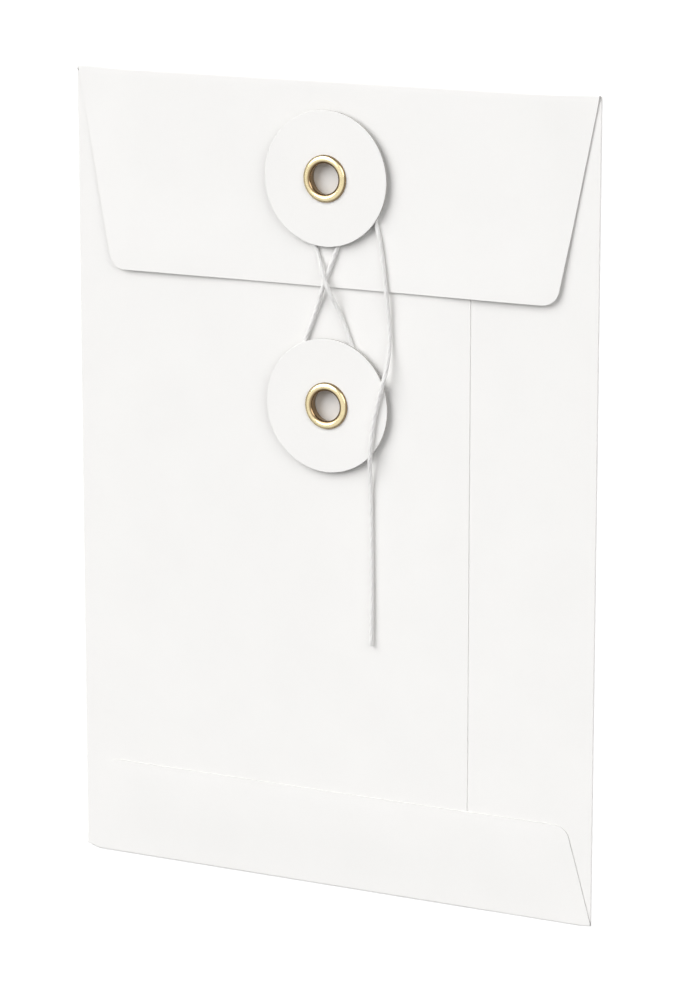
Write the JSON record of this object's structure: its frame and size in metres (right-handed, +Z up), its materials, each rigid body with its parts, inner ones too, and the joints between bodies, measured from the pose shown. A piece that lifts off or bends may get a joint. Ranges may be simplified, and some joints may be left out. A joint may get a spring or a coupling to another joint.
{
  "type": "string tie envelope",
  "caption": "Flat white paper envelope with a tapered closure flap, tied down by a string wound crosswise under round card discs held by brass eyelets.",
  "frame": {"origin": "under the middle of the envelope, on the plain front that it lies on", "axes": "+X across the width, +Y along the length towards the closure flap's fold, +Z up out of the string side"},
  "size_m": [0.114, 0.162, 0.0036],
  "materials": {
    "white_paper": "matt uncoated white paper",
    "gum": "dried clear paper gum",
    "white_card": "matt white card with a cut edge",
    "eyelet_brass": "bright rolled brass",
    "cotton_string": "twisted white cotton string"
  },
  "bodies": {
    "pocket": {"front_panel": "white_paper", "left_side_fold": "white_paper", "right_side_fold": "white_paper", "bottom_fold": "white_paper", "left_back_panel": "white_paper", "right_back_panel": "white_paper", "seam_gum": "gum", "bottom_flap": "white_paper", "bottom_flap_gum": "gum", "top_fold": "white_paper", "lower_eyelet": "eyelet_brass"},
    "flap": {"closure_flap": "white_paper", "upper_eyelet": "eyelet_brass", "string_winding": "cotton_string", "string_tail": "cotton_string"},
    "upper_button": {"upper_disc": "white_card"},
    "lower_button": {"lower_disc": "white_card"}
  },
  "joints": [
    {"name": "flap_hinge", "type": "hinge", "parent": "pocket", "child": "flap", "pos_m": [0, 0.0803, 0.0007], "axis": [-1, 0, 0], "range_deg": [0, 150], "deforming": ["top_fold", "string_winding", "string_tail"]},
    {"name": "upper_disc_spin", "type": "hinge", "parent": "flap", "child": "upper_button", "pos_m": [0, 0.062, 0.00235], "axis": [0, 0, 1], "continuous": true},
    {"name": "lower_disc_spin", "type": "hinge", "parent": "pocket", "child": "lower_button", "pos_m": [0, 0.01735, 0.0018], "axis": [0, 0, 1], "continuous": true}
  ]
}
